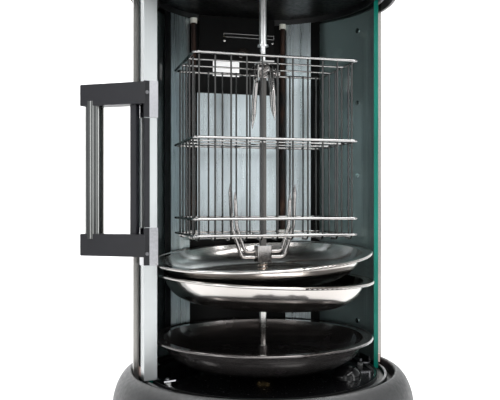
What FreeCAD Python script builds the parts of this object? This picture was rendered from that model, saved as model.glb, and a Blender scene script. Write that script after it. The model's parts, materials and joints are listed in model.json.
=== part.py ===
import FreeCAD, Part
import math
import os

# Vertical rotisserie oven. Millimetres, +Z up, the front is -Y, and the origin is on the table under
# the spit axis. A bearing is an angle in degrees from the front (-Y) round towards the right (+X).

Vector = FreeCAD.Vector
ORIGIN = Vector(0, 0, 0)
UP = Vector(0, 0, 1)

# Base
FOOT_HEIGHT = 8.0
DOME_CENTRE_R = 139.5
DOME_CENTRE_Z = 37.3
DOME_HALF_WIDTH = 21.9
DOME_HALF_HEIGHT = 44.4
DOME_INNER_ROUND = 2.4
CASING_TOP_R = 159.6
CASING_LOW_R = 147.0
CASING_WALL = 3.0
WELL_R = 140.3                # the well in the base that the chamber stands in
PANEL_ANGLE = 75.96           # how far the control face leans back from level
PANEL_CENTRE = Vector(0, -195, 34)
KNOB_X = 40.0
PANEL_HOLES = ((-KNOB_X, 0.0, 3.6), (KNOB_X, 0.0, 3.6), (0.0, 8.0, 3.2), (0.0, -8.0, 6.2))
GLAND_FACE_Y = 160.0
GLAND_Z = 25.0
GLAND_LENGTH = 19.0

# Chamber
FLOOR_TOP = 74.2
TRACK_BASE = 66.0
TRACK_FLOOR = 73.5
GLASS_R_IN = 124.0
GLASS_R_OUT = 129.0
GLASS_Z0 = 74.5
GLASS_Z1 = 484.0
SHELL_Z0 = 69.3
SHELL_Z1 = 487.0
SHELL_R_OUT = 139.8
INNER_SHELL_R = 134.6
DOOR_OPENING = 91.2           # half of the front opening between the shell's edges
CEILING_Z = 486.5

# Heater unit
WALL_R = 122.9
WALL_SHEET = 0.7
WALL_BEARING = 129.0
HEATER_Z0 = 88.0
HEATER_Z1 = 479.9
REFLECTOR_R = 122.1
REFLECTOR_SHEET = 0.8
REFLECTOR_BEARINGS = (150.0, 142.0, 134.5)
CENTRE_PLATE_Y = 107.0
CENTRE_PLATE_HALF = 51.0
SHELF_Z = 212.6
CENTRE_PLATE_TOP = 391.0
TUBE_X = 56.3
TUBE_Y = 103.5
TUBE_R = 3.0
PANEL_HALF = 48.0
PANEL_Y = 110.9
PANEL_Z0 = 392.0

# Door
STILE_BEARING = -81.0
STILE_R_IN = 121.5
STILE_R_OUT = 135.0
STILE_HALF = 6.0
STILE_Z0 = 78.5
STILE_Z1 = 479.3
GLASS_START = 81.0
GLASS_END = 279.5
HANDLE_BEARING = -124.0
HANDLE_REACH = 67.0
GRIP_AT = 54.0
GRIP_R = 9.5
UPPER_BLOCK = (356.3, 378.2)
LOWER_BLOCK = (203.0, 225.5)
UPPER_CLIP = (343.0, 380.0)
LOWER_CLIP = (194.0, 232.0)

# Spit
SPINDLE_R = 4.05
STUB_R = 3.0
SHOULDER_Z = 149.4
SPIT_HALF = 3.0
SPIT_Z0 = 200.2
SPIT_Z1 = 399.0
HUB_HALF = 8.0
LOWER_HUB = (193.0, 211.0)
UPPER_HUB = (392.0, 406.0)
PRONG_R = 2.1

# Pans and tray, of one width
PAN_SHEET = 1.0
PAN_FLOOR_R = 76.0
PAN_LIP_R = 108.5
PAN_BEAD_R = 117.2
BEAD_R = 1.5
TRAY_DEPTH = 28.0
TRAY_Z = 86.0
LOWER_PAN_DEPTH = 28.5
LOWER_PAN_Z = 150.0
LOWER_PAN_TILT = 2.4          # both pans sit a little askew, each low at its own bearing
LOWER_PAN_LOW_BEARING = 74.0
UPPER_PAN_DEPTH = 25.0
UPPER_PAN_Z = 176.0
UPPER_PAN_TILT = 4.5
UPPER_PAN_LOW_BEARING = -48.0

# Basket
BASKET_HALF_X = 87.0
BASKET_HALF_Y = 55.5
BASKET_RINGS = ((406.0, 1.5), (322.0, 1.5), (241.0, 1.5), (224.0, 1.2))      # heights and wire radii
RING_CORNER = 5.0
RING_WIRE_R = 1.5
UPRIGHT_R = 0.95
UPRIGHT_Y = BASKET_HALF_Y - RING_WIRE_R - UPRIGHT_R - 0.02
UPRIGHT_END_X = 81.5
UPRIGHT_COUNT = 11
SIDE_UPRIGHT_X = BASKET_HALF_X - RING_WIRE_R - UPRIGHT_R - 0.02
CROSS_PITCH = 18.5
BASKET_FLOOR_Z = 221.7

# Top
TOP_TRACK_Z = 480.0
CAP_Z = 488.0
PIN_R = 4.0
PIN_Z0 = 402.0
PIN_SHOULDER_Z = 428.0
PIN_TOP = 552.0
KNOB_TOP = 572.0


# ---------------------------------------------------------------- helpers

def bearing_point(radius, bearing, height=0.0):
    """The point at a radius and a bearing."""
    angle = math.radians(bearing)
    return Vector(radius * math.sin(angle), -radius * math.cos(angle), height)


def turned(shape, angle):
    """A copy of a shape turned about the spit axis."""
    copy = shape.copy()
    copy.rotate(ORIGIN, UP, angle)
    return copy


def fused(shapes):
    """One solid from several that touch or overlap."""
    result = shapes[0]
    for shape in shapes[1:]:
        result = result.fuse(shape)
    return result.removeSplitter()


def largest(shape):
    """The largest solid of a shape."""
    return max(shape.Solids, key=lambda solid: solid.Volume)


def disc(radius, z0, z1, x=0.0, y=0.0):
    """An upright cylinder between two heights."""
    return Part.makeCylinder(radius, z1 - z0, Vector(x, y, z0))


def tube(r_in, r_out, z0, z1, x=0.0, y=0.0):
    """An upright tube between two heights."""
    return disc(r_out, z0, z1, x, y).cut(disc(r_in, z0 - 1, z1 + 1, x, y))


def band(r_in, r_out, z0, z1, start, end):
    """The part of a tube about the axis that lies between two bearings."""
    wedge = Part.makeCylinder(r_out, z1 - z0, Vector(0, 0, z0), UP, end - start)
    return turned(wedge, start - 90).cut(disc(r_in, z0 - 1, z1 + 1))


def box(x0, x1, y0, y1, z0, z1):
    """A box between two corners."""
    return Part.makeBox(x1 - x0, y1 - y0, z1 - z0, Vector(x0, y0, z0))


def at_bearing(shape, bearing):
    """Turn a shape that was drawn towards the front to face a bearing."""
    return turned(shape, bearing)


def section(point):
    """A radius and a height as a point in the XZ plane."""
    return Vector(point[0], 0, point[1])


def outline(start, *steps):
    """A closed face in the XZ plane. A step is the next point, or a (middle, end) pair for an arc."""
    edges = []
    here = start
    for step in steps:
        if isinstance(step[0], tuple):
            middle, end = step
            edges.append(Part.Arc(section(here), section(middle), section(end)).toShape())
        else:
            end = step
            edges.append(Part.LineSegment(section(here), section(end)).toShape())
        here = end
    if here != start:
        edges.append(Part.LineSegment(section(here), section(start)).toShape())
    return Part.Face(Part.Wire(edges))


def crown(edge, apex_z):
    """The arc step from an edge point up to an apex on the axis, part of a sphere centred on the axis."""
    rise = apex_z - edge[1]
    sphere_r = (edge[0] ** 2 + rise ** 2) / (2 * rise)
    half_angle = math.asin(edge[0] / sphere_r) / 2
    middle = (sphere_r * math.sin(half_angle), apex_z - sphere_r * (1 - math.cos(half_angle)))
    return (middle, (0, apex_z))


def lathe(start, *steps):
    """A solid of revolution about the spit axis."""
    return outline(start, *steps).revolve(ORIGIN, UP, 360)


def plate(points, z0, z1):
    """An upright prism on a polygon in the XY plane."""
    corners = [Vector(x, y, z0) for x, y in points]
    face = Part.Face(Part.makePolygon(corners + corners[:1]))
    return face.extrude(Vector(0, 0, z1 - z0))


def side_plate(points, x0, x1):
    """A prism along X on a polygon in the YZ plane."""
    corners = [Vector(x0, y, z) for y, z in points]
    face = Part.Face(Part.makePolygon(corners + corners[:1]))
    return face.extrude(Vector(x1 - x0, 0, 0))


def bent_path(points, bend):
    """A wire of straight runs joined by tangent arcs."""
    edges = []
    here = points[0]
    for before, corner, after in zip(points, points[1:], points[2:]):
        arriving = (corner - before).normalize()
        leaving = (after - corner).normalize()
        turn = arriving.getAngle(leaving)
        setback = bend * math.tan(turn / 2)
        first = corner - arriving * setback
        last = corner + leaving * setback
        inward = (leaving - arriving).normalize()
        middle = corner + inward * (bend / math.cos(turn / 2) - bend)
        edges.append(Part.LineSegment(here, first).toShape())
        edges.append(Part.Arc(first, middle, last).toShape())
        here = last
    edges.append(Part.LineSegment(here, points[-1]).toShape())
    return Part.Wire(edges)


def rod(points, radius, bend=5.0, tip=0.0):
    """A round bar along bent runs, with an optional point at its far end."""
    start = points[0]
    direction = points[1] - start
    circle = Part.Wire(Part.makeCircle(radius, start, direction))
    bar = bent_path(points, bend).makePipeShell([circle], True, False)
    if tip:
        last = points[-1] - points[-2]
        point = Part.makeCone(radius, radius * 0.12, tip, points[-1], last)
        bar = bar.fuse(point)
    return bar


def on_panel(shape):
    """Move a shape drawn about the origin, with +Z outwards, on to the control face."""
    placed = shape.copy()
    placed.rotate(ORIGIN, Vector(1, 0, 0), PANEL_ANGLE)
    placed.translate(PANEL_CENTRE)
    return placed


def rolled_edge(shape, radius, chooser):
    """Round the edges that a test picks out."""
    return shape.makeFillet(radius, [edge for edge in shape.Edges if chooser(edge)])


# ---------------------------------------------------------------- base

def dome_face(inset):
    """Half of the section of the domed base, shrunk by an inset."""
    centre = section((DOME_CENTRE_R, DOME_CENTRE_Z))
    top = section((DOME_CENTRE_R, DOME_CENTRE_Z + DOME_HALF_HEIGHT - inset))
    side = section((DOME_CENTRE_R + DOME_HALF_WIDTH - inset, DOME_CENTRE_Z))
    quarter = Part.Arc(Part.Ellipse(top, side, centre), 0, math.pi / 2).toShape()
    foot = section((0, DOME_CENTRE_Z))
    crown_point = section((0, top.z))
    lines = [Part.makeLine(side, foot), Part.makeLine(foot, crown_point), Part.makeLine(crown_point, top)]
    return Part.Face(Part.Wire([quarter] + lines))


def dome_solid(inset):
    """The dome as a full solid."""
    return dome_face(inset).revolve(ORIGIN, UP, 360)


def casing_solid(inset):
    """The lower casing's form, which widens from the table side up to the dome's lower edge."""
    low = FOOT_HEIGHT
    high = DOME_CENTRE_Z
    return lathe((0, low), (CASING_LOW_R - inset, low), (CASING_TOP_R - inset, high), (0, high))


def control_pod(inset):
    """The wedge at the front that carries the controls."""
    side = [(-140, 10 + inset), (-198, 10 + inset), (-200 + inset, 14), (-190 + inset, 54 - inset),
            (-182, 60 - inset), (-140, 60 - inset)]
    form = side_plate(side, -78 + inset, 78 - inset)
    return rolled_edge(form, 6 - inset / 2, lambda edge: edge.BoundBox.XLength < 0.01
                       and edge.BoundBox.ZLength > 20 and edge.BoundBox.YMax < -185)


def rubber_feet():
    """Four round feet."""
    feet = []
    for bearing in (45, 135, 225, 315):
        place = bearing_point(115, bearing)
        foot = Part.makeCone(11, 13, FOOT_HEIGHT, place)
        feet.append(foot)
    return feet


def bottom_cover():
    """The steel plate that closes the base, with ventilation slots."""
    cover = disc(CASING_LOW_R - CASING_WALL - 0.2, FOOT_HEIGHT, FOOT_HEIGHT + 1.5)
    for row in range(5):
        slot = box(-40, 40, 30 + row * 12, 34 + row * 12, 0, 20)
        cover = cover.cut(slot)
    return [cover]


def lower_casing():
    """The black moulded casing, open at the top, and the hollow control pod that hooks on its front."""
    gland_boss = Part.makeCylinder(12, GLAND_FACE_Y - 146, Vector(0, 146, GLAND_Z), Vector(0, 1, 0))
    gland_hole = Part.makeCylinder(7.05, 60, Vector(0, 130, GLAND_Z), Vector(0, 1, 0))
    wire_window = box(-50, 50, -170, -130, 15, 31)
    casing = casing_solid(0).cut(casing_solid(CASING_WALL)).fuse(gland_boss)
    casing = casing.cut(gland_hole).cut(wire_window)
    pod = control_pod(0).cut(dome_solid(0)).cut(casing_solid(0)).cut(control_pod(3.0))
    for x, y, radius in PANEL_HOLES:
        pod = pod.cut(on_panel(disc(radius, -30, 30, x, y)))
    return [largest(casing), largest(pod)]


def base_trim_ring():
    """The silver domed ring round the well, with a rounded inner edge."""
    shell = largest(dome_solid(0).cut(dome_solid(CASING_WALL)).cut(disc(WELL_R, 0, 130)))
    return [rolled_edge(shell, DOME_INNER_ROUND, lambda edge: edge.BoundBox.ZMin > 81
                        and edge.BoundBox.XMax < WELL_R + 0.1)]


def cord_gland():
    """The bushing that the mains lead leaves through."""
    back = Vector(0, 1, 0)
    body = Part.makeCylinder(7.0, GLAND_LENGTH, Vector(0, GLAND_FACE_Y + 3 - GLAND_LENGTH, GLAND_Z), back)
    flange = Part.makeCylinder(10, 3, Vector(0, GLAND_FACE_Y + 0.02, GLAND_Z), back)
    bore = Part.makeCylinder(3.8, 60, Vector(0, 120, GLAND_Z), back)
    return [body.fuse(flange).cut(bore).removeSplitter()]


# ---------------------------------------------------------------- controls

def control_panel():
    """The thin fascia on the control face."""
    form = on_panel(box(-68, 68, -17, 17, 0.05, 1.25))
    for x, y, radius in PANEL_HOLES:
        form = form.cut(on_panel(disc(radius, -5, 5, x, y)))
    return [form]


def knob(x):
    """A round control knob with grip flutes, a pointer ridge and its own shaft."""
    skirt = Part.makeCone(15.5, 13.5, 4, Vector(x, 0, 1.7))
    grip = Part.makeCone(12.5, 11.5, 12, Vector(x, 0, 5.7))
    form = skirt.fuse(grip)
    for step in range(12):
        angle = math.radians(step * 30 + 15)
        flute = disc(1.6, 6.5, 20, x + 13.2 * math.cos(angle), 13.2 * math.sin(angle))
        form = form.cut(flute)
    ridge = box(x - 1.2, x + 1.2, 2, 11, 17, 19)
    shaft = disc(3.0, -14, 2.5, x)
    return [on_panel(form.fuse(ridge).fuse(shaft).removeSplitter())]


def control_mechanisms():
    """The clockwork timer and the thermostat behind the panel, each with a bore for its knob's shaft."""
    timer = box(-KNOB_X - 18, -KNOB_X + 18, -15, 15, -24, -5).cut(disc(3.05, -15, 0, -KNOB_X))
    thermostat = box(KNOB_X - 14, KNOB_X + 14, -15, 15, -22, -5).cut(disc(3.05, -15, 0, KNOB_X))
    return [on_panel(timer), on_panel(thermostat)]


def indicator_lens():
    """The small round pilot lamp."""
    dome = Part.makeSphere(3.1, Vector(0, 8, 1.25)).common(disc(5, 1.25, 6, 0, 8))
    return [on_panel(disc(3.1, -3, 1.25, 0, 8).fuse(dome).removeSplitter())]


def lamp_button():
    """The push button that switches the lamp."""
    return [on_panel(disc(6.0, -3, 4, 0, -8))]


# ---------------------------------------------------------------- drive

def drive_motor():
    """The geared motor under the chamber floor, with a bore for the spindle."""
    gearbox = disc(25, 22, 44)
    body = disc(18, 12, 22, 0, 6)
    ears = box(-34, 34, -6, 6, 41.5, 44)
    form = fused([gearbox, body, ears])
    return [form.cut(disc(SPINDLE_R + 0.07, 40, 50))]


def motor_bracket():
    """The strap that hangs the motor under the floor."""
    strap = box(-60, 60, -10, 10, 44, 45.5).cut(disc(9, 40, 50))
    hangers = []
    for side in (-1, 1):
        x0, x1 = sorted((side * 58.5, side * 60))
        hangers.append(box(x0, x1, -10, 10, 45.5, TRACK_BASE - 0.5))
        x0, x1 = sorted((side * 58.5, side * 72))
        hangers.append(box(x0, x1, -10, 10, TRACK_BASE - 2, TRACK_BASE - 0.5))
    return [fused([strap] + hangers)]


def spindle_bushes():
    """The sleeve on the floor boss and the sleeve that guides the top pin."""
    lower = fused([tube(SPINDLE_R + 0.06, 7.8, 75, 85.8), tube(SPINDLE_R + 0.06, 11, 84.2, 85.8)])
    upper = fused([tube(PIN_R + 0.06, 7, 484, 500), tube(PIN_R + 0.06, 11, 483, 486.4)])
    return [lower, upper]


def drive_spindle():
    """The spindle with the shoulder that carries the pans."""
    shaft = disc(SPINDLE_R, 41, SHOULDER_Z - 1.5)
    shoulder = disc(12, SHOULDER_Z - 1.5, SHOULDER_Z)
    stub = disc(STUB_R, SHOULDER_Z, LOWER_HUB[0] + 3)
    collar = disc(5.1, 86.1, 94)
    return [fused([shaft, shoulder, stub, collar])]


# ---------------------------------------------------------------- floor and door track

def door_track():
    """The ring channel that the glass door runs in, with the black well round it."""
    profile = lathe((121.6, TRACK_BASE), (WELL_R - 0.2, TRACK_BASE), (WELL_R - 0.2, 69), (133, 69), (133, 77),
                    (132.5, 77.5), (130.1, 77.5), (129.6, 77), (129.6, TRACK_FLOOR), (123.4, TRACK_FLOOR),
                    (123.4, 77), (122.4, 77), (122.4, 71), (121.6, 71))
    return [profile]


def well_skirt():
    """The black wall under the dome's inner edge."""
    wall = tube(WELL_R + 0.1, WELL_R + 1.7, TRACK_BASE, 100)
    return [wall.common(dome_solid(CASING_WALL + 0.1))]


def floor_plate():
    """The enamelled chamber floor with a turned-up rim and a boss in the middle."""
    return [lathe((7.9, 73), (121.3, 73), (121.3, 77), (119.8, 77), (118.6, FLOOR_TOP), (30, FLOOR_TOP),
                  (24, 76), (17, 77), (14.5, 80.5), (13, 84), (7.9, 84))]


def floor_cap():
    """The rounded cap in the floor."""
    shoulder = (8.6, 11.0)
    dome = lathe((0, 0), (15.5, 0), (14.8, 2.2), ((12.8, 7.2), shoulder), crown(shoulder, 12.8))
    dome.translate(bearing_point(92, 56.1, FLOOR_TOP))
    return [dome]


def bumpers():
    """The silicone pads that stop the door at both ends of its travel."""
    pads = []
    for side in (-1, 1):
        start, end = sorted((side * 84.8, side * 89.1))
        pads.append(band(130.2, 134.0, 79, 88, start, end))
    return pads


# ---------------------------------------------------------------- shell

def outer_shell():
    """The polished outer wall of the rear half."""
    return [band(SHELL_R_OUT - 1.5, SHELL_R_OUT, SHELL_Z0, SHELL_Z1, DOOR_OPENING, 360 - DOOR_OPENING)]


def inner_shell():
    """The bright lining behind the door's parking space."""
    return [band(INNER_SHELL_R, INNER_SHELL_R + 1.2, SHELL_Z0, SHELL_Z1, DOOR_OPENING, 360 - DOOR_OPENING)]


def shell_posts():
    """The folded posts that close the shell's two front edges."""
    posts = []
    for side in (-1, 1):
        start, end = sorted((side * 89.2, side * 91.1))
        posts.append(band(134.3, 140.0, SHELL_Z0, SHELL_Z1, start, end))
    return posts


def shell_rivets():
    """Two rows of rivets on the lining."""
    rivets = []
    for bearing in (-106.5, 106.5):
        for row in range(5):
            head = Part.makeCylinder(3, 1.2, Vector(0, 0, 0), Vector(0, 1, 0))
            head.translate(Vector(0, -INNER_SHELL_R + 0.05, 118 + 86 * row))
            rivets.append(at_bearing(head, bearing))
    return rivets


# ---------------------------------------------------------------- heater unit and lamp

def heater_back_wall():
    """The black curved wall between the heaters and the parked door."""
    return [band(WALL_R - WALL_SHEET, WALL_R, HEATER_Z0, HEATER_Z1, WALL_BEARING, 360 - WALL_BEARING)]


def side_reflectors():
    """The two folded bright reflectors beside the heaters."""
    sheets = []
    for side in (-1, 1):
        outer = [bearing_point(REFLECTOR_R, side * bearing) for bearing in REFLECTOR_BEARINGS]
        inner = [bearing_point(REFLECTOR_R - REFLECTOR_SHEET, side * bearing) for bearing in REFLECTOR_BEARINGS]
        points = [(point.x, point.y) for point in outer + inner[::-1]]
        sheets.append(plate(points, HEATER_Z0, HEATER_Z1))
    return sheets


def center_reflector():
    """The flat bright plate between the two heaters, with folded edges."""
    half = CENTRE_PLATE_HALF
    front = CENTRE_PLATE_Y
    sheet = REFLECTOR_SHEET
    points = [(-half, front + 3.5), (-half, front), (half, front), (half, front + 3.5), (half - sheet, front + 3.5),
              (half - sheet, front + sheet), (-half + sheet, front + sheet), (-half + sheet, front + 3.5)]
    return [plate(points, SHELF_Z + 1.2, CENTRE_PLATE_TOP)]


def heater_shelf():
    """The ledge that carries the centre reflector and the heaters' lower ends."""
    return [band(CENTRE_PLATE_Y - 0.3, WALL_R - WALL_SHEET - 0.1, SHELF_Z, SHELF_Z + 1.2, 150.5, 209.5)]


def heater_tubes():
    """The two upright heating elements."""
    return [disc(TUBE_R, SHELF_Z + 6, HEATER_Z1 - 2.5, side * TUBE_X, TUBE_Y) for side in (-1, 1)]


def heater_insulators():
    """The ceramic ends that hold each element."""
    ends = []
    for side in (-1, 1):
        x = side * TUBE_X
        for z0, z1 in ((SHELF_Z + 1.25, SHELF_Z + 12), (HEATER_Z1 - 5.9, HEATER_Z1)):
            holder = disc(4.2, z0, z1, x, TUBE_Y)
            ends.append(holder.cut(disc(TUBE_R + 0.02, SHELF_Z + 5.9, HEATER_Z1 - 2.4, x, TUBE_Y)))
    return ends


def upper_panel():
    """The black plate above the centre reflector, which carries the lamp."""
    return [box(-PANEL_HALF, PANEL_HALF, PANEL_Y, PANEL_Y + 1, PANEL_Z0, CEILING_Z)]


def lamp_reflector():
    """The white enamelled plate under the lamp."""
    return [box(-31, 2, PANEL_Y - 1.2, PANEL_Y, 413, 433)]


def lamp_frame():
    """The thin bright strip above the lamp, open along its middle."""
    outer = box(-18, 47, PANEL_Y - 1.6, PANEL_Y, 461, 466.2)
    return [outer.cut(box(-17, 46, 0, 200, 462, 465.2))]


def lamp_bulb():
    """The round oven lamp on its neck."""
    globe = Part.makeSphere(7, Vector(5, 101, 440.8))
    neck = Part.makeCylinder(3.4, 6, Vector(5, PANEL_Y - 6, 440.8), Vector(0, 1, 0))
    return [globe.fuse(neck).removeSplitter()]


# ---------------------------------------------------------------- top

def ceiling_plate():
    """The chamber's ceiling."""
    return [tube(11.2, 121.6, CEILING_Z, CEILING_Z + 1.5)]


def upper_track():
    """The ring that guides the top of the glass."""
    return [lathe((121.8, TOP_TRACK_Z), (123.4, TOP_TRACK_Z), (123.4, 485), (129.6, 485), (129.6, TOP_TRACK_Z),
                  (133, TOP_TRACK_Z), (133, CAP_Z), (121.8, CAP_Z))]


def top_trim_ring():
    """The silver ring round the shell's upper edge."""
    return [tube(WELL_R, 143, 476, 490)]


def top_cap():
    """The black domed cap, hollow, with a ring of ventilation slots."""
    shell = lathe((133.2, CAP_Z), (WELL_R - 0.2, CAP_Z), (WELL_R - 0.2, 490.2), (141.5, 490.2), (141.5, 502),
                  ((118, 533), (60, 546)), (17, 550), (17, 547.5), (60, 543.4),
                  ((116.6, 530.6), (138.8, 501)), (138.8, 491.5), (133.2, 491.5))
    for step in range(24):
        slot = box(-1.6, 1.6, -112, -86, 520, 560)
        shell = shell.cut(at_bearing(slot, step * 15))
    return [shell]


def top_pin():
    """The pull-up pin that locates the top of the spit."""
    tip = disc(3.0, PIN_Z0, PIN_SHOULDER_Z)
    shank = disc(PIN_R, PIN_SHOULDER_Z, PIN_TOP)
    collar = disc(5.8, PIN_SHOULDER_Z - 1, PIN_SHOULDER_Z + 1)
    brim = (14, PIN_TOP + 15)
    grip = lathe((0, PIN_TOP), (13, PIN_TOP), ((16.5, PIN_TOP + 6), brim), crown(brim, KNOB_TOP))
    return [fused([tip, shank, collar, grip])]


# ---------------------------------------------------------------- door

def door_glass():
    """The curved glass."""
    return [band(GLASS_R_IN, GLASS_R_OUT, GLASS_Z0, GLASS_Z1, GLASS_START, GLASS_END)]


def door_stile():
    """The aluminium rail on the glass's leading edge, with a slot for the glass."""
    bar = box(-STILE_HALF, STILE_HALF, -STILE_R_OUT - 2, -STILE_R_IN + 2, STILE_Z0, STILE_Z1)
    bar = at_bearing(bar, STILE_BEARING)
    bar = bar.common(disc(STILE_R_OUT, 0, 600)).cut(disc(STILE_R_IN, 0, 600))
    slot = band(GLASS_R_IN - 0.3, GLASS_R_OUT + 0.3, 0, 600, GLASS_START, GLASS_END + 0.15)
    return [bar.cut(slot)]


def clip_sleeve(z0, z1):
    """A chromed sleeve round the stile."""
    sleeve = box(-7.5, 7.5, -136, -120.8, z0, z1)
    sleeve = at_bearing(sleeve, STILE_BEARING).common(disc(136, 0, 600)).cut(disc(120.8, 0, 600))
    bar = at_bearing(box(-STILE_HALF - 0.05, STILE_HALF + 0.05, -140, -118, 0, 600), STILE_BEARING)
    bar = bar.common(disc(STILE_R_OUT + 0.05, 0, 600)).cut(disc(STILE_R_IN - 0.05, 0, 600))
    glass = band(GLASS_R_IN - 0.3, GLASS_R_OUT + 0.3, 0, 600, GLASS_START, GLASS_END + 0.15)
    return sleeve.cut(bar).cut(glass)


def handle_clips():
    """The sleeves that hold the handle on the stile."""
    return [largest(clip_sleeve(*UPPER_CLIP)), largest(clip_sleeve(*LOWER_CLIP))]


def along_handle(shape):
    """Move a shape drawn with +X along the handle's arms to the door's side."""
    placed = shape.copy()
    direction = bearing_point(1, HANDLE_BEARING)
    angle = math.degrees(math.atan2(direction.y, direction.x))
    placed.rotate(ORIGIN, UP, angle)
    placed.translate(bearing_point(STILE_R_OUT + 0.5, STILE_BEARING))
    return placed


def handle_block(z0, z1):
    """One arm of the handle, with rounded edges and a bore for the grip."""
    arm = box(-12, HANDLE_REACH, -9, 9, z0, z1)
    arm = rolled_edge(arm, 3.0, lambda edge: edge.BoundBox.XLength < 0.01 and edge.BoundBox.XMin > 60)
    return largest(along_handle(arm).cut(disc(136.05, 0, 600)))


def handle_blocks():
    """The two black arms of the handle."""
    blocks = []
    for z0, z1 in (UPPER_BLOCK, LOWER_BLOCK):
        seat = along_handle(disc(GRIP_R + 0.02, LOWER_BLOCK[1] - 5, UPPER_BLOCK[0] + 5, GRIP_AT))
        blocks.append(handle_block(z0, z1).cut(seat))
    return blocks


def handle_grip():
    """The chromed grip tube between the arms."""
    grip = tube(GRIP_R - 1.5, GRIP_R, LOWER_BLOCK[1] - 4.9, UPPER_BLOCK[0] + 4.9, GRIP_AT)
    return [along_handle(grip)]


def handle_spine():
    """The black bar that joins the arms beside the stile."""
    spine = box(4.3, 11.3, -4.5, 4.5, LOWER_BLOCK[1] + 0.02, UPPER_BLOCK[0] - 0.02)
    spine = rolled_edge(spine, 1.2, lambda edge: edge.BoundBox.ZLength > 50)
    spine = along_handle(spine).cut(disc(136.6, 0, 600))
    return [largest(spine)]


def door_screws():
    """The screws of the handle clips and of the glass feet."""
    screws = []
    for z in (UPPER_CLIP[1] - 12, LOWER_CLIP[0] + 12):
        head = Part.makeCylinder(1.8, 1.2, Vector(7.52, -132.4, z), Vector(1, 0, 0))
        screws.append(at_bearing(head, STILE_BEARING))
    for bearing in (-72.6, 89.5):
        place = bearing_point(114.5, bearing, 80.25)
        screws.append(Part.makeCone(2.8, 2.2, 1.4, place))
    return screws


def glass_feet():
    """The brackets under the glass's two ends that run on the floor's edge."""
    left = box(-5, 5, -121.3, -108.5, 78.8, 80.2)
    left = at_bearing(left, -72.6)
    left = left.fuse(band(118.5, 121.3, 78.8, 80.2, -86, -72)).removeSplitter()
    right = band(110.5, 121.3, 78.8, 80.2, 83, 96)
    lip = band(120.1, 121.3, 80.2, 85.5, 83, 96)
    return [largest(left), right.fuse(lip).removeSplitter()]


def door_glides():
    """The nylon buttons under the feet."""
    return [disc(3, FLOOR_TOP + 0.2, 78.78, place.x, place.y)
            for place in (bearing_point(114.5, -72.6), bearing_point(114.5, 89.5))]


# ---------------------------------------------------------------- pans

def swollen(start, end):
    """The arc step from a pan's floor to its lip, which leaves the floor level and ends steep."""
    run = end[0] - start[0]
    rise = end[1] - start[1]
    radius = (run ** 2 + rise ** 2) / (2 * rise)
    half_turn = math.atan(rise / run)
    middle = (start[0] + radius * math.sin(half_turn), start[1] + radius * (1 - math.cos(half_turn)))
    return (middle, end)


def pan_form(depth, hole_r):
    """A pressed pan with a flat floor, a curved wall, a narrow lip and a rolled bead."""
    sheet = PAN_SHEET
    floor_out = (PAN_FLOOR_R, 0)
    floor_in = (PAN_FLOOR_R, sheet)
    lip_out = (PAN_LIP_R, depth - sheet)
    lip_in = (PAN_LIP_R - sheet, depth)
    outer_wall = swollen(floor_out, lip_out)
    inner_wall = (swollen(floor_in, lip_in)[0], floor_in)
    body = lathe((hole_r, 0), floor_out, outer_wall, (PAN_BEAD_R, depth - sheet), (PAN_BEAD_R, depth), lip_in,
                 inner_wall, (hole_r, sheet))
    bead = Part.makeTorus(PAN_BEAD_R, BEAD_R, Vector(0, 0, depth - 0.5))
    return body.fuse(bead).removeSplitter()


def askew(pan, height, tilt, low_bearing):
    """Tilt a pan about the middle of its floor towards a bearing and lift it to its height."""
    placed = pan.copy()
    hinge = UP.cross(bearing_point(1, low_bearing))
    placed.rotate(ORIGIN, hinge, tilt)
    placed.translate(Vector(0, 0, height))
    return placed


def drip_tray():
    """The dark tray on the floor, with a chimney round the spindle."""
    tray = askew(pan_form(TRAY_DEPTH, 5.2), TRAY_Z, 0, 0)
    chimney = tube(5.2, 6.2, TRAY_Z, TRAY_Z + 17)
    return [tray.fuse(chimney).removeSplitter()]


def lower_pan():
    """The stainless pan on the spindle's shoulder."""
    pan = pan_form(LOWER_PAN_DEPTH, STUB_R + 0.3)
    return [askew(pan, LOWER_PAN_Z, LOWER_PAN_TILT, LOWER_PAN_LOW_BEARING)]


def pan_spacer():
    """The sleeve that keeps the two pans apart."""
    return [tube(STUB_R + 0.1, 7, LOWER_PAN_Z + PAN_SHEET + 0.4, UPPER_PAN_Z - 0.8)]


def upper_pan():
    """The second pan, on its spacer."""
    pan = pan_form(UPPER_PAN_DEPTH, 4.4)
    return [askew(pan, UPPER_PAN_Z, UPPER_PAN_TILT, UPPER_PAN_LOW_BEARING)]


# ---------------------------------------------------------------- spit

def spit_spring():
    """The spring that presses the pans down on the shoulder."""
    coil_r = 5.0
    wire_r = 0.8
    helix = Part.makeHelix(3.9, 11.7, coil_r)
    helix.translate(Vector(0, 0, 179.6))
    circle = Part.Wire(Part.makeCircle(wire_r, Vector(coil_r, 0, 179.6), Vector(0, 1, 0.124)))
    return [Part.Wire(helix.Edges).makePipeShell([circle], True, True)]


def spit_rod():
    """The square bar of the spit."""
    return [box(-SPIT_HALF, SPIT_HALF, -SPIT_HALF, SPIT_HALF, SPIT_Z0, SPIT_Z1)]


def hub(z0, z1):
    """The square clamp block of a fork."""
    block = box(-HUB_HALF, HUB_HALF, -HUB_HALF, HUB_HALF, z0, z1)
    return rolled_edge(block, 1.5, lambda edge: edge.BoundBox.ZLength > 5)


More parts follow.
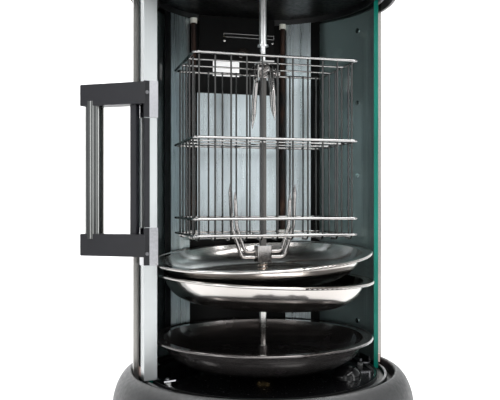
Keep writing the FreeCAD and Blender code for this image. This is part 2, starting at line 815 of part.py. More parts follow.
def lower_fork():
    """The fork under the basket: a block with two pointed prongs on each side."""
    pieces = [hub(*LOWER_HUB)]
    for side in (-1, 1):
        outer = [Vector(side * x, 0, z) for x, z in ((6, 198.5), (24, 198.5), (35, 232), (36.5, 269))]
        inner = [Vector(side * x, 0, z) for x, z in ((6, 204.7), (20.5, 204.7), (29.5, 232), (31, 260))]
        pieces.append(rod(outer, PRONG_R, 6, 9))
        pieces.append(rod(inner, PRONG_R, 6, 9))
    form = fused(pieces)
    form = form.cut(disc(STUB_R + 0.02, 190, 196.3))
    rod_hole = box(-SPIT_HALF - 0.02, SPIT_HALF + 0.02, -SPIT_HALF - 0.02, SPIT_HALF + 0.02, 200, 215)
    return [form.cut(rod_hole)]


def upper_fork():
    """The fork inside the top of the basket, with the socket for the top pin."""
    pieces = [hub(*UPPER_HUB), disc(6, UPPER_HUB[1], 411)]
    for side in (-1, 1):
        outer = [Vector(0, side * y, z) for y, z in ((6, 401.4), (29, 401.4), (38, 374), (41, 352))]
        inner = [Vector(0, side * y, z) for y, z in ((6, 395.2), (24, 395.2), (31.5, 372), (34, 358))]
        pieces.append(rod(outer, PRONG_R, 6, 10))
        pieces.append(rod(inner, PRONG_R, 6, 10))
    form = fused(pieces)
    form = form.cut(disc(3.06, 399.6, 420))
    rod_hole = box(-SPIT_HALF - 0.02, SPIT_HALF + 0.02, -SPIT_HALF - 0.02, SPIT_HALF + 0.02, 380, 399.1)
    return [form.cut(rod_hole)]


def thumbscrews():
    """The screws that clamp the two forks on the spit."""
    back = Vector(0, 1, 0)
    right = Vector(1, 0, 0)
    lower = [Part.makeCylinder(2.2, 6, Vector(0, 8.02, 204), back),
             Part.makeCylinder(5, 4, Vector(0, 14.02, 204), back)]
    upper = [Part.makeCylinder(2.2, 6, Vector(8.02, 0, 399), right),
             Part.makeCylinder(5, 4, Vector(14.02, 0, 399), right)]
    return [fused(lower), fused(upper)]


# ---------------------------------------------------------------- basket

def ring_path(z):
    """A rectangle with rounded corners, as a wire that starts in the middle of its front run."""
    x1 = BASKET_HALF_X
    y1 = BASKET_HALF_Y
    corners = [Vector(0, -y1, z), Vector(x1, -y1, z), Vector(x1, y1, z), Vector(-x1, y1, z), Vector(-x1, -y1, z),
               Vector(0, -y1, z)]
    return bent_path(corners, RING_CORNER)


def basket_rings():
    """The four wire rings round the basket."""
    rings = []
    for z, radius in BASKET_RINGS:
        circle = Part.Wire(Part.makeCircle(radius, Vector(0, -BASKET_HALF_Y, z), Vector(1, 0, 0)))
        rings.append(ring_path(z).makePipeShell([circle], True, False))
    return rings


def basket_uprights():
    """The upright wires. Those of the long faces are welded to hooks that turn in under the floor wires."""
    wires = []
    pitch = 2 * UPRIGHT_END_X / (UPRIGHT_COUNT - 1)
    hook_z = BASKET_FLOOR_Z - 2 * UPRIGHT_R - 0.05
    weld_z = hook_z + 8
    for step in range(UPRIGHT_COUNT):
        x = -UPRIGHT_END_X + step * pitch
        for side in (-1, 1):
            y = side * UPRIGHT_Y
            wires.append(disc(UPRIGHT_R, weld_z, 407.3, x, y))
            wires.append(rod([Vector(x, y, weld_z), Vector(x, y, hook_z), Vector(x, side * 36, hook_z)],
                             UPRIGHT_R, 5))
    for step in range(-2, 3):
        for side in (-1, 1):
            wires.append(disc(UPRIGHT_R, BASKET_FLOOR_Z + UPRIGHT_R + 0.1, 404.7,
                              side * SIDE_UPRIGHT_X, step * CROSS_PITCH))
    return wires


def lengthwise_wire(half, y, z):
    """A straight wire along X."""
    return Part.makeCylinder(UPRIGHT_R, 2 * half, Vector(-half, y, z), Vector(1, 0, 0))


def strap(z0, hole_r, y_end):
    """A flat cross strap with a hole for the spit."""
    form = box(-6.5, 6.5, -y_end, y_end, z0, z0 + 1.5)
    boss = disc(9, z0, z0 + 1.5)
    return form.fuse(boss).cut(disc(hole_r, z0 - 5, z0 + 5)).removeSplitter()


def basket_cross_wires():
    """The wires along the basket's top, middle and floor, and the two straps that locate it on the spit."""
    wires = []
    for side in (-1, 1):
        wires.append(lengthwise_wire(85.45, side * CROSS_PITCH, 406))
        wires.append(lengthwise_wire(83.2, side * CROSS_PITCH, 322))
        for row in (1, 2):
            wires.append(lengthwise_wire(85.45, side * row * CROSS_PITCH, BASKET_FLOOR_Z))
    top = 406 + UPRIGHT_R + 0.02
    floor = BASKET_FLOOR_Z + UPRIGHT_R + 0.02
    return wires + [strap(top, 6.2, CROSS_PITCH + 2), strap(floor, 4.5, CROSS_PITCH + 2)]


# ---------------------------------------------------------------- output

def timer_knob():
    """The knob of the timer."""
    return knob(-KNOB_X)


def thermostat_knob():
    """The knob of the thermostat."""
    return knob(KNOB_X)


NODES = (rubber_feet, bottom_cover, lower_casing, base_trim_ring, cord_gland, control_panel, timer_knob,
         thermostat_knob, control_mechanisms, indicator_lens, lamp_button, drive_motor, motor_bracket,
         spindle_bushes, drive_spindle, door_track, well_skirt, floor_plate, floor_cap, bumpers, outer_shell,
         inner_shell, shell_posts, shell_rivets, heater_back_wall, side_reflectors, center_reflector,
         heater_shelf, heater_tubes, heater_insulators, upper_panel, lamp_reflector, lamp_frame, lamp_bulb,
         ceiling_plate, upper_track, top_trim_ring, top_cap, top_pin, door_glass, door_stile, handle_clips,
         handle_blocks, handle_grip, handle_spine, door_screws, glass_feet, door_glides, drip_tray, lower_pan,
         pan_spacer, upper_pan, spit_spring, spit_rod, lower_fork, upper_fork, thumbscrews, basket_rings,
         basket_uprights, basket_cross_wires)


def main():
    os.makedirs("parts", exist_ok=True)
    for make in NODES:
        solids = make()
        shape = solids[0] if len(solids) == 1 else Part.makeCompound(solids)
        shape.exportStep("parts/" + make.__name__ + ".step")
        count = len(shape.Solids)
        print(make.__name__, count, round(shape.Volume), "valid" if shape.isValid() else "INVALID")


main()
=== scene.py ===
"""Looks of an upright rotisserie oven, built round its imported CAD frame. Metres, +Z up, front -Y."""

import json
import math

import bmesh
import bpy
from mathutils import Euler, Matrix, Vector

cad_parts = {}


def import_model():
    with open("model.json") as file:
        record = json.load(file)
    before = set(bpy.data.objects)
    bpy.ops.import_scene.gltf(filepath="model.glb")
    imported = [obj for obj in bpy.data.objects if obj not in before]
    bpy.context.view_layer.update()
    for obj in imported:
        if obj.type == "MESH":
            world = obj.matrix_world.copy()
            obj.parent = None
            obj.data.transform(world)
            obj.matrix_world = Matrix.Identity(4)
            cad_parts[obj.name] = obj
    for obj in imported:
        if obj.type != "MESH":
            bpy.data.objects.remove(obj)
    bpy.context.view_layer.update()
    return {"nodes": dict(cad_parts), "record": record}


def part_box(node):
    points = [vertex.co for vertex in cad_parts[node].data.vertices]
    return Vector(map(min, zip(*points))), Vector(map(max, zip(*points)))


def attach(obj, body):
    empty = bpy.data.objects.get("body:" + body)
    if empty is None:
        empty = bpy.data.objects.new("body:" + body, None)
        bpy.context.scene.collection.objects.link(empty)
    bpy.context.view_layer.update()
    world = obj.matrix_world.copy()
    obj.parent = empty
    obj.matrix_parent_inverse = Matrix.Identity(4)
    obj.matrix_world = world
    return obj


MM = 0.001

# Camera, in metres and degrees: level, 16 degrees to the left of the front, with a small shift
CAMERA_PLACE = (-0.2250, -0.7573, 0.255)
CAMERA_TURN = -16.0
CAMERA_LENS = 52.27
CAMERA_SHIFT = (-0.012, 0.010)

# Frame dimensions that the detail pieces follow, in millimetres and degrees
STILE_BEARING = -81.0
GLASS_R_IN = 124.0
GLASS_R_OUT = 129.0
GLASS_EDGES = (81.0, 279.5)
GLASS_Z = (74.5, 484.0)
CLIP_HEIGHTS = (38.0, 37.0)      # the lower and the upper clip
PANEL_CENTRE = (0.0, -195.0, 34.0)
PANEL_ANGLE = 75.96
KNOB_X = 40.0

# Detail pieces, in millimetres: radii from the spit axis, and offsets in front of the stile's middle
EDGE_INSET = 0.1
EDGE_DEGREES = (0.005, 0.12)
CLIP_COVER_RADII = (129.8, 135.9)
CLIP_COVER_OFFSETS = (7.52, 8.1)
CLIP_COVER_INSET = 0.4
CLIP_COVER_ROUNDING = 0.2
# The strip of painted shade on the stile between the clips, where the handle's spine darkens it
STILE_SHADE_RADII = (129.2, 134.9)
STILE_SHADE_OFFSETS = (6.02, 7.2)
STILE_SHADE_GAP = 0.5
STILE_SHADE_ROUNDING = 0.3
SCREW_R = 1.7
SCREW_HEIGHT = 1.1
SCREW_INSET = 1.5
SCREW_DROP = 4.0
SCREW_SUNK = 0.1
SCREW_SIDES = 20
SCREW_PROFILE = ((1.0, 0.0), (0.98, 0.35), (0.82, 0.72), (0.5, 0.95), (0.34, 1.0), (0.3, 0.8))
MARK_GAPS = 10
MARK_REACH = (16.0, 16.9)
MARK_HALF_WIDTH = 0.3
MARK_HEIGHTS = (1.2, 1.4)
KNOB_SWEEPS = (("timer", -KNOB_X, 300), ("thermostat", KNOB_X, 270))

# Studio, in metres and watts
SWEEP_HALF_WIDTH = 9.0
SWEEP_FRONT = -12.0
SWEEP_BEND_Y = 1.2
SWEEP_BEND_R = 0.9
SWEEP_BEND_STEPS = 12
SWEEP_TOP = 3.5
LIGHT_TARGET = (0, 0, 0.28)
ROOM_LEVELS = ((0.0, 0.40), (0.32, 0.72), (0.8, 0.18))     # height in the room, brightness

# Nodes whose material differs from the rest of their slot: a smoother cap, and the painted shade and painted
# highlight marked below
NODE_FINISHES_AND_PAINTED_LIGHT = {
    # Painted shade: the recessed interior panels behind and above the heaters get a near-black material
    "upper_panel": "interior_painted_shade",
    "heater_back_wall": "interior_painted_shade",
    "ceiling_plate": "interior_painted_shade",
    "heater_shelf": "interior_painted_shade",
    # Painted highlight: the top pin gets a near-white chrome of its own
    "top_pin": "pin_painted_highlight",
    "floor_cap": "cap_black",
    # Painted shade: the basket's uprights get a darkened copy of the rings' chrome wire
    "basket_uprights": "wire_painted_shade",
}


# ---------------------------------------------------------------- node helpers

class Surface:
    """One procedural material: a principled shader with the textures that drive it."""

    def __init__(self, name, color, roughness, metallic=0.0):
        self.name = name
        self.material = bpy.data.materials.new(name)
        self.material.use_nodes = True
        self.tree = self.material.node_tree
        self.shader = self.tree.nodes["Principled BSDF"]
        self.output = self.tree.nodes["Material Output"]
        self.shader.inputs["Base Color"].default_value = (*color, 1)
        self.shader.inputs["Roughness"].default_value = roughness
        self.shader.inputs["Metallic"].default_value = metallic
        self.coordinates = self.tree.nodes.new("ShaderNodeTexCoord")

    def node(self, kind, **settings):
        node = self.tree.nodes.new(kind)
        for key, value in settings.items():
            setattr(node, key, value)
        return node

    def link(self, source, target):
        self.tree.links.new(source, target)

    def math(self, operation, first, second):
        """A math node on two numbers or sockets."""
        node = self.node("ShaderNodeMath", operation=operation)
        for socket, value in zip(node.inputs, (first, second)):
            if isinstance(value, (int, float)):
                socket.default_value = value
            else:
                self.link(value, socket)
        return node.outputs[0]

    def place(self, scale=(1, 1, 1)):
        """Object coordinates, stretched."""
        mapping = self.node("ShaderNodeMapping")
        mapping.inputs["Scale"].default_value = scale
        self.link(self.coordinates.outputs["Object"], mapping.inputs["Vector"])
        return mapping.outputs["Vector"]

    def axis(self, letter):
        """One object coordinate."""
        split = self.node("ShaderNodeSeparateXYZ")
        self.link(self.coordinates.outputs["Object"], split.inputs[0])
        return split.outputs[letter]

    def radius(self):
        """The distance from the spit axis."""
        flat = self.node("ShaderNodeVectorMath", operation="MULTIPLY")
        flat.inputs[1].default_value = (1, 1, 0)
        self.link(self.coordinates.outputs["Object"], flat.inputs[0])
        length = self.node("ShaderNodeVectorMath", operation="LENGTH")
        self.link(flat.outputs[0], length.inputs[0])
        return length.outputs["Value"]

    def along_radius(self, scale):
        """A coordinate that changes only with the distance from the axis and the height."""
        join = self.node("ShaderNodeCombineXYZ")
        self.link(self.math("MULTIPLY", self.radius(), scale), join.inputs["X"])
        self.link(self.math("MULTIPLY", self.axis("Z"), scale), join.inputs["Z"])
        return join.outputs[0]

    def noise(self, vector, scale, detail=3.0):
        noise = self.node("ShaderNodeTexNoise")
        noise.inputs["Scale"].default_value = scale
        noise.inputs["Detail"].default_value = detail
        noise.inputs["Roughness"].default_value = 0.55
        self.link(vector, noise.inputs["Vector"])
        return noise.outputs["Fac"]

    def spread(self, value, low, high, from_low=0.3, from_high=0.7):
        """Map a texture's middle range on to two values."""
        node = self.node("ShaderNodeMapRange")
        node.inputs["From Min"].default_value = from_low
        node.inputs["From Max"].default_value = from_high
        node.inputs["To Min"].default_value = low
        node.inputs["To Max"].default_value = high
        self.link(value, node.inputs["Value"])
        return node.outputs["Result"]

    def ramp(self, value, *stops):
        """A colour ramp of (position, colour) stops."""
        node = self.node("ShaderNodeValToRGB")
        elements = node.color_ramp.elements
        while len(elements) < len(stops):
            elements.new(0.5)
        for element, (position, color) in zip(elements, stops):
            element.position = position
            element.color = (*color, 1)
        self.link(value, node.inputs["Fac"])
        return node.outputs["Color"]

    def mix(self, factor, first, second):
        """Blend two colours."""
        node = self.node("ShaderNodeMix", data_type="RGBA")
        for socket, value in ((node.inputs[0], factor), (node.inputs[6], first), (node.inputs[7], second)):
            if isinstance(value, (int, float)):
                socket.default_value = value
            elif isinstance(value, tuple):
                socket.default_value = (*value, 1)
            else:
                self.link(value, socket)
        return node.outputs[2]

    def color(self, value):
        self.link(value, self.shader.inputs["Base Color"])

    def rough(self, value):
        self.link(value, self.shader.inputs["Roughness"])

    def bump(self, height, strength, distance):
        node = self.node("ShaderNodeBump")
        node.inputs["Strength"].default_value = strength
        node.inputs["Distance"].default_value = distance
        self.link(height, node.inputs["Height"])
        self.link(node.outputs["Normal"], self.shader.inputs["Normal"])

    def coat(self, weight, roughness):
        self.shader.inputs["Coat Weight"].default_value = weight
        self.shader.inputs["Coat Roughness"].default_value = roughness


def shade(color, factor):
    """A colour made lighter or darker."""
    return tuple(min(1.0, channel * factor) for channel in color)


def polished(name, color, rough, grain, depth, stain=0.12, metallic=1.0):
    """Polished metal: faint grain in the gloss, and a slow change of tone."""
    surface = Surface(name, color, rough[0], metallic)
    fine = surface.noise(surface.place(grain), 12.0, 4.0)
    slow = surface.noise(surface.place(), 18.0, 2.0)
    surface.color(surface.ramp(slow, (0.3, shade(color, 1 - stain)), (0.7, shade(color, 1 + stain / 2))))
    surface.rough(surface.spread(fine, *rough))
    surface.bump(fine, depth, 0.0002)
    return surface


def moulded(name, color, roughness, texture, specular=0.5):
    """Moulded plastic or rubber with a fine spark-eroded texture and slight wear."""
    surface = Surface(name, color, roughness)
    surface.shader.inputs["Specular IOR Level"].default_value = specular
    grit = surface.noise(surface.place(), 1400.0, 2.0)
    slow = surface.noise(surface.place(), 25.0, 3.0)
    surface.color(surface.ramp(slow, (0.3, shade(color, 0.8)), (0.75, shade(color, 1.5))))
    surface.rough(surface.spread(slow, roughness * 0.85, min(1.0, roughness * 1.2)))
    surface.bump(grit, texture, 0.0002)
    return surface


def painted(name, color, roughness, flake, coat, specular=0.5):
    """Paint or enamel with an orange-peel skin, and metal flake where it has some."""
    surface = Surface(name, color, roughness, 0.0 if flake == 0 else 0.55)
    surface.shader.inputs["Specular IOR Level"].default_value = specular
    peel = surface.noise(surface.place(), 260.0, 2.0)
    slow = surface.noise(surface.place(), 14.0, 2.0)
    tone = surface.ramp(slow, (0.3, shade(color, 0.88)), (0.7, shade(color, 1.08)))
    if flake:
        specks = surface.noise(surface.place(), 2600.0, 1.0)
        tone = surface.mix(surface.spread(specks, 0.0, flake, 0.45, 0.75), tone, shade(color, 1.8))
    surface.color(tone)
    surface.rough(surface.spread(peel, roughness * 0.85, roughness * 1.25))
    surface.bump(peel, 0.04, 0.0003)
    surface.coat(coat, 0.08)
    return surface


def spun_steel():
    """Polished pressed steel with the faint rings of its spinning and slow patches of a warm stain."""
    surface = Surface("pan_steel", (0.60, 0.58, 0.55), 0.1, 1.0)
    rings = surface.noise(surface.along_radius(1.0), 900.0, 2.0)
    slow = surface.noise(surface.place(), 9.0, 3.0)
    surface.color(surface.ramp(slow, (0.3, (0.54, 0.50, 0.47)), (0.7, (0.68, 0.66, 0.64))))
    surface.rough(surface.spread(rings, 0.13, 0.21))
    surface.bump(rings, 0.05, 0.0002)
    return surface


def nonstick():
    """Dark glossy non-stick with a fine fleck."""
    surface = Surface("nonstick", (0.12, 0.10, 0.09), 0.2, 0.85)
    fleck = surface.noise(surface.place(), 1900.0, 1.0)
    surface.color(surface.ramp(fleck, (0.55, (0.115, 0.104, 0.102)), (0.8, (0.17, 0.155, 0.15))))
    surface.rough(surface.spread(surface.noise(surface.place(), 40.0), 0.16, 0.28))
    surface.bump(fleck, 0.03, 0.0002)
    surface.coat(1.0, 0.06)
    return surface


def element():
    """Heating element: an oxidised sheath with brown patches."""
    surface = Surface("element_sheath", (0.08, 0.05, 0.04), 0.55, 0.6)
    patches = surface.noise(surface.place((1, 1, 0.4)), 60.0, 3.0)
    surface.color(surface.ramp(patches, (0.4, (0.012, 0.010, 0.010)), (0.62, (0.06, 0.03, 0.02)),
                               (0.8, (0.20, 0.12, 0.09))))
    surface.rough(surface.spread(patches, 0.4, 0.7))
    surface.bump(patches, 0.3, 0.0003)
    return surface


def white_enamel():
    """The lamp's white plate, with painted light: it glows a little to stand in for the light of the lamp in
    front of it.
    """
    surface = painted("white_enamel", (0.88, 0.88, 0.87), 0.25, 0.0, 0.6)
    # Painted light: the plate glows, though it is no lamp
    surface.shader.inputs["Emission Color"].default_value = (1.0, 1.0, 1.0, 1)
    surface.shader.inputs["Emission Strength"].default_value = 0.55
    return surface


def glass(name, tint):
    """Clear glass: tinted see-through with a mirror part, 4 % head on and all of it at a grazing angle."""
    head_on = 0.04
    surface = Surface(name, tint, 0.0)
    clear = surface.node("ShaderNodeBsdfTransparent")
    clear.inputs["Color"].default_value = (*tint, 1)
    gloss = surface.node("ShaderNodeBsdfGlossy")
    gloss.inputs["Color"].default_value = (1, 1, 1, 1)
    smear = surface.noise(surface.place(), 22.0, 3.0)
    surface.link(surface.spread(smear, 0.0, 0.035), gloss.inputs["Roughness"])
    angle = surface.node("ShaderNodeLayerWeight")
    grazing = surface.math("POWER", angle.outputs["Facing"], 5.0)
    share = surface.math("ADD", surface.math("MULTIPLY", grazing, 1 - head_on), head_on)
    blend = surface.node("ShaderNodeMixShader")
    surface.link(share, blend.inputs[0])
    surface.link(clear.outputs[0], blend.inputs[1])
    surface.link(gloss.outputs[0], blend.inputs[2])
    surface.link(blend.outputs[0], surface.output.inputs["Surface"])
    surface.tree.nodes.remove(surface.shader)
    return surface


def glass_edge():
    """The ground edge of the glass, deep green."""
    surface = Surface("glass_edge", (0.0, 0.20, 0.13), 0.35)
    surface.shader.inputs["Specular IOR Level"].default_value = 0.2
    slow = surface.noise(surface.place((1, 1, 0.5)), 30.0, 2.0)
    surface.color(surface.ramp(slow, (0.3, (0.0, 0.11, 0.08)), (0.7, (0.002, 0.16, 0.12))))
    surface.bump(surface.noise(surface.place(), 900.0, 2.0), 0.08, 0.0002)
    return surface


def make_materials():
    """Every material by the name of its slot."""
    surfaces = [
        moulded("rubber", (0.02, 0.02, 0.02), 0.75, 0.4),
        polished("zinc_steel", (0.50, 0.51, 0.52), (0.3, 0.45), (40, 40, 40), 0.1),
        moulded("black_plastic", (0.016, 0.016, 0.018), 0.42, 0.2),
        painted("silver_paint", (0.062, 0.062, 0.063), 0.46, 0.3, 0.05),
        painted("fascia", (0.40, 0.41, 0.42), 0.35, 0.3, 0.1),
        moulded("knob_plastic", (0.02, 0.02, 0.02), 0.32, 0.15),
        moulded("pilot_lens", (0.6, 0.06, 0.02), 0.12, 0.05),
        moulded("button_plastic", (0.03, 0.03, 0.03), 0.2, 0.08),
        polished("brass_bush", (0.62, 0.44, 0.2), (0.2, 0.32), (1, 1, 60), 0.1),
        polished("spindle_steel", (0.55, 0.54, 0.52), (0.1, 0.2), (1, 1, 60), 0.08),
        painted("black_enamel", (0.004, 0.004, 0.0045), 0.22, 0.0, 0.6),
        painted("cap_black", (0.005, 0.005, 0.0055), 0.16, 0.0, 0.0, 0.35),
        # Painted shade: near-black with weak gloss, for the recessed interior panels where shade falls
        painted("interior_painted_shade", (0.002, 0.0021, 0.0022), 0.38, 0.0, 0.0, 0.15),
        polished("track_metal", (0.10, 0.10, 0.102), (0.3, 0.42), (1, 1, 60), 0.1),
        moulded("silicone", (0.46, 0.33, 0.30), 0.5, 0.1),
        polished("shell_steel", (0.30, 0.29, 0.275), (0.2, 0.28), (70, 70, 1), 0.04, 0.03),
        polished("lining_steel", (0.36, 0.385, 0.40), (0.3, 0.42), (70, 70, 1), 0.05, 0.12, 0.6),
        polished("reflector_steel", (0.62, 0.69, 0.72), (0.24, 0.36), (70, 70, 1), 0.06),
        element(),
        moulded("ceramic", (0.72, 0.68, 0.6), 0.6, 0.3),
        white_enamel(),
        polished("thin_chrome", (0.78, 0.78, 0.78), (0.05, 0.1), (30, 30, 30), 0.03),
        glass("lamp_glass", (0.86, 0.80, 0.76)),
        glass("door_glass", (0.92, 0.975, 0.965)),
        polished("aluminium_rail", (0.52, 0.54, 0.545), (0.3, 0.42), (70, 70, 1), 0.05, 0.06),
        polished("clip_chrome", (0.42, 0.42, 0.44), (0.1, 0.18), (30, 30, 30), 0.04),
        moulded("handle_plastic", (0.010, 0.010, 0.013), 0.36, 0.2, specular=0.3),
        polished("grip_chrome", (0.17, 0.173, 0.17), (0.1, 0.18), (60, 60, 1), 0.05),
        polished("screw_steel", (0.16, 0.16, 0.17), (0.25, 0.4), (30, 30, 30), 0.1),
        moulded("nylon", (0.7, 0.7, 0.68), 0.5, 0.2),
        nonstick(),
        spun_steel(),
        polished("spring_steel", (0.45, 0.36, 0.30), (0.2, 0.35), (40, 40, 40), 0.1, 0.3),
        polished("fork_steel", (0.46, 0.44, 0.43), (0.08, 0.18), (40, 40, 20), 0.06),
        polished("wire_chrome", (0.42, 0.415, 0.41), (0.05, 0.1), (40, 40, 40), 0.04),
        # Painted shade: a darkened copy of wire_chrome, so the uprights read darker than the rings
        polished("wire_painted_shade", (0.075, 0.074, 0.073), (0.04, 0.08), (40, 40, 40), 0.04),
        # Painted highlight: near-white chrome, brighter than the other steels, so the top pin reads lit
        # white
        polished("pin_painted_highlight", (0.95, 0.95, 0.95), (0.3, 0.38), (1, 1, 60), 0.03, 0.03),
        polished("spit_steel", (0.12, 0.115, 0.11), (0.25, 0.4), (60, 60, 2), 0.1),
        glass_edge(),
    ]
    return {surface.name: surface.material for surface in surfaces}


# ---------------------------------------------------------------- mesh helpers

def bearing_point(radius, bearing, height):
    """A point in metres from a radius, a bearing and a height in millimetres."""
    angle = math.radians(bearing)
    return Vector((radius * math.sin(angle), -radius * math.cos(angle), height)) * MM


def add_mesh(name, mesh, material, body):
    """Put a bmesh in the scene as a piece of a body."""
    data = bpy.data.meshes.new(name)
    bmesh.ops.recalc_face_normals(mesh, faces=mesh.faces)
    mesh.to_mesh(data)
    mesh.free()
    piece = bpy.data.objects.new(name, data)
    bpy.context.scene.collection.objects.link(piece)
    data.materials.append(material)
    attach(piece, body)
    return piece


def smooth(piece):
    """Smooth shading with sharp edges kept where faces meet at over 35 degrees."""
    data = piece.data
    data.shade_smooth()
    data.set_sharp_from_angle(angle=math.radians(35))


def rectangle(across, along):
    """The four corners of a rectangle, in order round it."""
    return ((across[0], along[0]), (across[1], along[0]), (across[1], along[1]), (across[0], along[1]))


def join_rings(mesh, first, second):
    """Faces between two closed rings of points."""
    for index in range(len(first)):
        after = (index + 1) % len(first)
        mesh.faces.new((first[index], first[after], second[after], second[index]))


def close_block(mesh, first, second):
    """The six faces of a block between two rings of four points."""
    join_rings(mesh, first, second)
    mesh.faces.new(first)
    mesh.faces.new(second[::-1])


# ---------------------------------------------------------------- pieces

def glass_edges(materials):
    """Thin green strips on the ground edges of the door's glass."""
    radii = (GLASS_R_IN + EDGE_INSET, GLASS_R_OUT - EDGE_INSET)
    for label, edge, side in (("right", GLASS_EDGES[0], -1), ("left", GLASS_EDGES[1], 1)):
        mesh = bmesh.new()
        rings = [[mesh.verts.new(bearing_point(radius, edge + side * degrees, height))
                  for radius, height in rectangle(radii, GLASS_Z)]
                 for degrees in EDGE_DEGREES]
        close_block(mesh, *rings)
        piece = add_mesh("glass_edge_" + label, mesh, materials["glass_edge"], "door")


def on_stile(name, radii, offsets, heights, material, rounding):
    """A black block on the door's stile, between two radii, two offsets to its front and two heights."""
    mesh = bmesh.new()
    angle = math.radians(STILE_BEARING)
    outward = Vector((math.sin(angle), -math.cos(angle), 0))
    forward = Vector((math.cos(angle), math.sin(angle), 0))
    rings = [[mesh.verts.new((outward * radius + forward * offset + Vector((0, 0, height))) * MM)
              for radius, offset in rectangle(radii, offsets)]
             for height in heights]
    close_block(mesh, *rings)
    bmesh.ops.bevel(mesh, geom=list(mesh.edges), offset=rounding * MM, segments=2, affect="EDGES",
                    profile=0.5)
    piece = add_mesh(name, mesh, material, "door")


def clip_covers_and_stile_shade(materials):
    """The black covers on the handle's clips, and a black strip of painted shade on the stile between them.
    """
    black = materials["handle_plastic"]
    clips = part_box("handle_clips")
    bottom, top = clips[0][2] / MM, clips[1][2] / MM
    lower_top = bottom + CLIP_HEIGHTS[0]
    upper_bottom = top - CLIP_HEIGHTS[1]
    for label, heights in (("lower", (bottom + CLIP_COVER_INSET, lower_top)),
                           ("upper", (upper_bottom, top - CLIP_COVER_INSET))):
        on_stile("clip_cover_" + label, CLIP_COVER_RADII, CLIP_COVER_OFFSETS, heights, black,
                 CLIP_COVER_ROUNDING)
    # Painted shade: a black strip on the stile between the clips stands for the dark that the handle's spine
    # casts there
    between = (lower_top + STILE_SHADE_GAP, upper_bottom - STILE_SHADE_GAP)
    on_stile("stile_painted_shade", STILE_SHADE_RADII, STILE_SHADE_OFFSETS, between, black, STILE_SHADE_ROUNDING)


def dress_nodes(frame, materials):
    """Give each CAD node its slot's material, or the one that is named for it, which may be painted shade or
    a painted highlight.
    """
    for entry in frame["record"]["subparts"]:
        node = frame["nodes"][entry["node"]]
        material_name = NODE_FINISHES_AND_PAINTED_LIGHT.get(entry["node"], entry["material_slot"])
        node.data.materials.clear()
        node.data.materials.append(materials[material_name])


def round_head(name, place, turn, material):
    """A domed screw head with a dished middle, drawn on +Z and turned on to its surface."""
    mesh = bmesh.new()
    rings = []
    for reach, rise in SCREW_PROFILE:
        ring = []
        for step in range(SCREW_SIDES):
            angle = 2 * math.pi * step / SCREW_SIDES
            point = Vector((reach * SCREW_R * math.cos(angle), reach * SCREW_R * math.sin(angle),
                            rise * SCREW_HEIGHT))
            point.rotate(turn)
            ring.append(mesh.verts.new((point + Vector(place)) * MM))
        rings.append(ring)
    for first, second in zip(rings, rings[1:]):
        join_rings(mesh, first, second)
    mesh.faces.new(rings[0][::-1])
    mesh.faces.new(rings[-1])
    piece = add_mesh(name, mesh, material, "cabinet")
    smooth(piece)


def lamp_screws(materials):
    """The two screws under the ends of the bright strip above the lamp."""
    low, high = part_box("lamp_frame")
    faces_front = Euler((math.radians(90), 0, 0))
    for label, x in (("left", low[0] / MM + SCREW_INSET), ("right", high[0] / MM - SCREW_INSET)):
        place = (x, high[1] / MM - SCREW_SUNK, low[2] / MM - SCREW_DROP)
        round_head("lamp_screw_" + label, place, faces_front, materials["thin_chrome"])


def dial_marks(materials):
    """Short raised marks round the two knobs on the sloping control panel."""
    centre = Vector(PANEL_CENTRE)
    slope = Euler((math.radians(PANEL_ANGLE), 0, 0))
    for label, knob_x, sweep in KNOB_SWEEPS:
        mesh = bmesh.new()
        for step in range(MARK_GAPS + 1):
            angle = math.radians(90 + sweep / 2 - sweep * step / MARK_GAPS)
            outward = Vector((math.cos(angle), math.sin(angle), 0))
            side = Vector((-outward.y, outward.x, 0)) * MARK_HALF_WIDTH
            rings = []
            for height in MARK_HEIGHTS:
                ring = []
                for reach, hand in rectangle(MARK_REACH, (1, -1)):
                    point = outward * reach + side * hand + Vector((knob_x, 0, height))
                    point.rotate(slope)
                    ring.append(mesh.verts.new((point + centre) * MM))
                rings.append(ring)
            close_block(mesh, *rings)
        piece = add_mesh(label + "_dial_marks", mesh, materials["knob_plastic"], "cabinet")


def soften_edges(frame):
    """Small bevels on the moulded and folded parts whose corners catch the light."""
    for name, width in (("handle_blocks", 1.2), ("handle_clips", 0.3), ("glass_feet", 0.2)):
        bevel = frame["nodes"][name].modifiers.new("soft_edges", "BEVEL")
        bevel.width = width * MM
        bevel.segments = 2
        bevel.limit_method = "ANGLE"
        bevel.angle_limit = math.radians(50)
        bevel.harden_normals = True


# ---------------------------------------------------------------- stage

def make_stage():
    """A pale sweep that runs from the floor up behind the object."""
    mesh = bmesh.new()
    profile = [(SWEEP_FRONT, 0.0), (SWEEP_BEND_Y, 0.0)]
    for step in range(1, SWEEP_BEND_STEPS + 1):
        angle = math.radians(90 * step / SWEEP_BEND_STEPS)
        profile.append((SWEEP_BEND_Y + SWEEP_BEND_R * math.sin(angle), SWEEP_BEND_R * (1 - math.cos(angle))))
    profile.append((SWEEP_BEND_Y + SWEEP_BEND_R, SWEEP_TOP))
    rows = [[mesh.verts.new((x, y, z)) for x in (-SWEEP_HALF_WIDTH, SWEEP_HALF_WIDTH)] for y, z in profile]
    for low, high in zip(rows, rows[1:]):
        mesh.faces.new((low[0], low[1], high[1], high[0]))
    data = bpy.data.meshes.new("studio_sweep")
    mesh.to_mesh(data)
    mesh.free()
    data.shade_smooth()
    sweep = bpy.data.objects.new("studio_sweep", data)
    bpy.context.scene.collection.objects.link(sweep)
    surface = Surface("studio_paper", (0.86, 0.86, 0.86), 0.9)
    surface.color(surface.ramp(surface.noise(surface.place(), 3.0), (0.3, (0.84, 0.84, 0.84)),
                               (0.7, (0.88, 0.88, 0.88))))
    data.materials.append(surface.material)


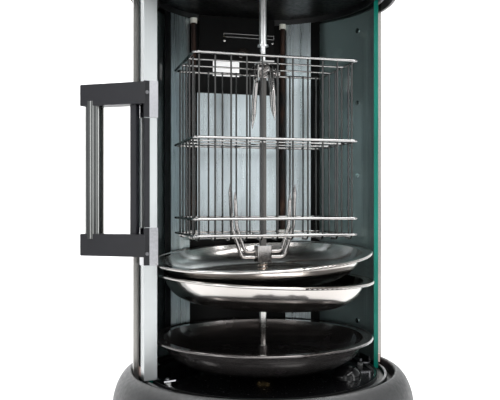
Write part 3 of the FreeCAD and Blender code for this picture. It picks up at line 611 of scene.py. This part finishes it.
def area_light(name, place, target, size, power):
    """A soft white rectangular light that faces a target."""
    light = bpy.data.lights.new(name, "AREA")
    light.shape = "RECTANGLE"
    light.size = size[0]
    light.size_y = size[1]
    light.energy = power
    lamp = bpy.data.objects.new(name, light)
    lamp.location = place
    lamp.rotation_euler = (Vector(target) - Vector(place)).to_track_quat("-Z", "Y").to_euler()
    bpy.context.scene.collection.objects.link(lamp)


def make_room():
    """A dim room that is palest at eye level and darker overhead."""
    world = bpy.data.worlds.new("dim_room")
    world.use_nodes = True
    tree = world.node_tree
    coordinates = tree.nodes.new("ShaderNodeTexCoord")
    split = tree.nodes.new("ShaderNodeSeparateXYZ")
    ramp = tree.nodes.new("ShaderNodeValToRGB")
    height = tree.nodes.new("ShaderNodeMapRange")
    height.inputs["From Min"].default_value = -0.3
    tree.links.new(coordinates.outputs["Generated"], split.inputs[0])
    tree.links.new(split.outputs["Z"], height.inputs["Value"])
    tree.links.new(height.outputs["Result"], ramp.inputs["Fac"])
    elements = ramp.color_ramp.elements
    elements.new(0.5)
    for element, (position, level) in zip(elements, ROOM_LEVELS):
        element.position = position
        element.color = (level * 0.96, level, level * 1.01, 1)
    tree.links.new(ramp.outputs["Color"], tree.nodes["Background"].inputs["Color"])
    bpy.context.scene.world = world


def make_lights():
    """Four upright boxes in front and to the sides, and lights over the object, the floor and the sweep."""
    area_light("left_box", (-1.25, -0.75, 0.5), LIGHT_TARGET, (0.30, 1.5), 4)
    area_light("right_box", (0.95, -1.15, 0.5), LIGHT_TARGET, (0.30, 1.5), 6)
    area_light("plate_box", (0.50, -1.75, 0.45), LIGHT_TARGET, (0.55, 0.9), 1.5)
    area_light("reflector_box", (-0.85, -1.6, 0.45), LIGHT_TARGET, (0.4, 0.9), 2.2)
    area_light("top_box", (0, -0.3, 1.7), LIGHT_TARGET, (1.2, 0.8), 5)
    area_light("floor_light", (0.1, -1.0, 1.3), (0, -0.9, 0), (1.6, 0.6), 22)
    area_light("sweep_light", (0, 0.7, 2.2), (0, 1.9, 0.5), (3.4, 0.8), 95)


def make_camera():
    """The level camera in front and a little to the left."""
    data = bpy.data.cameras.new("camera")
    data.lens = CAMERA_LENS
    data.sensor_width = 36.0
    data.shift_x, data.shift_y = CAMERA_SHIFT
    camera = bpy.data.objects.new("camera", data)
    camera.location = CAMERA_PLACE
    camera.rotation_euler = (math.radians(90), 0, math.radians(CAMERA_TURN))
    bpy.context.scene.collection.objects.link(camera)
    bpy.context.scene.camera = camera


def main():
    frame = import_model()
    materials = make_materials()
    dress_nodes(frame, materials)
    glass_edges(materials)
    clip_covers_and_stile_shade(materials)
    lamp_screws(materials)
    dial_marks(materials)
    soften_edges(frame)
    make_stage()
    make_room()
    make_lights()
    make_camera()
    bpy.context.scene.view_settings.view_transform = "Standard"


main()
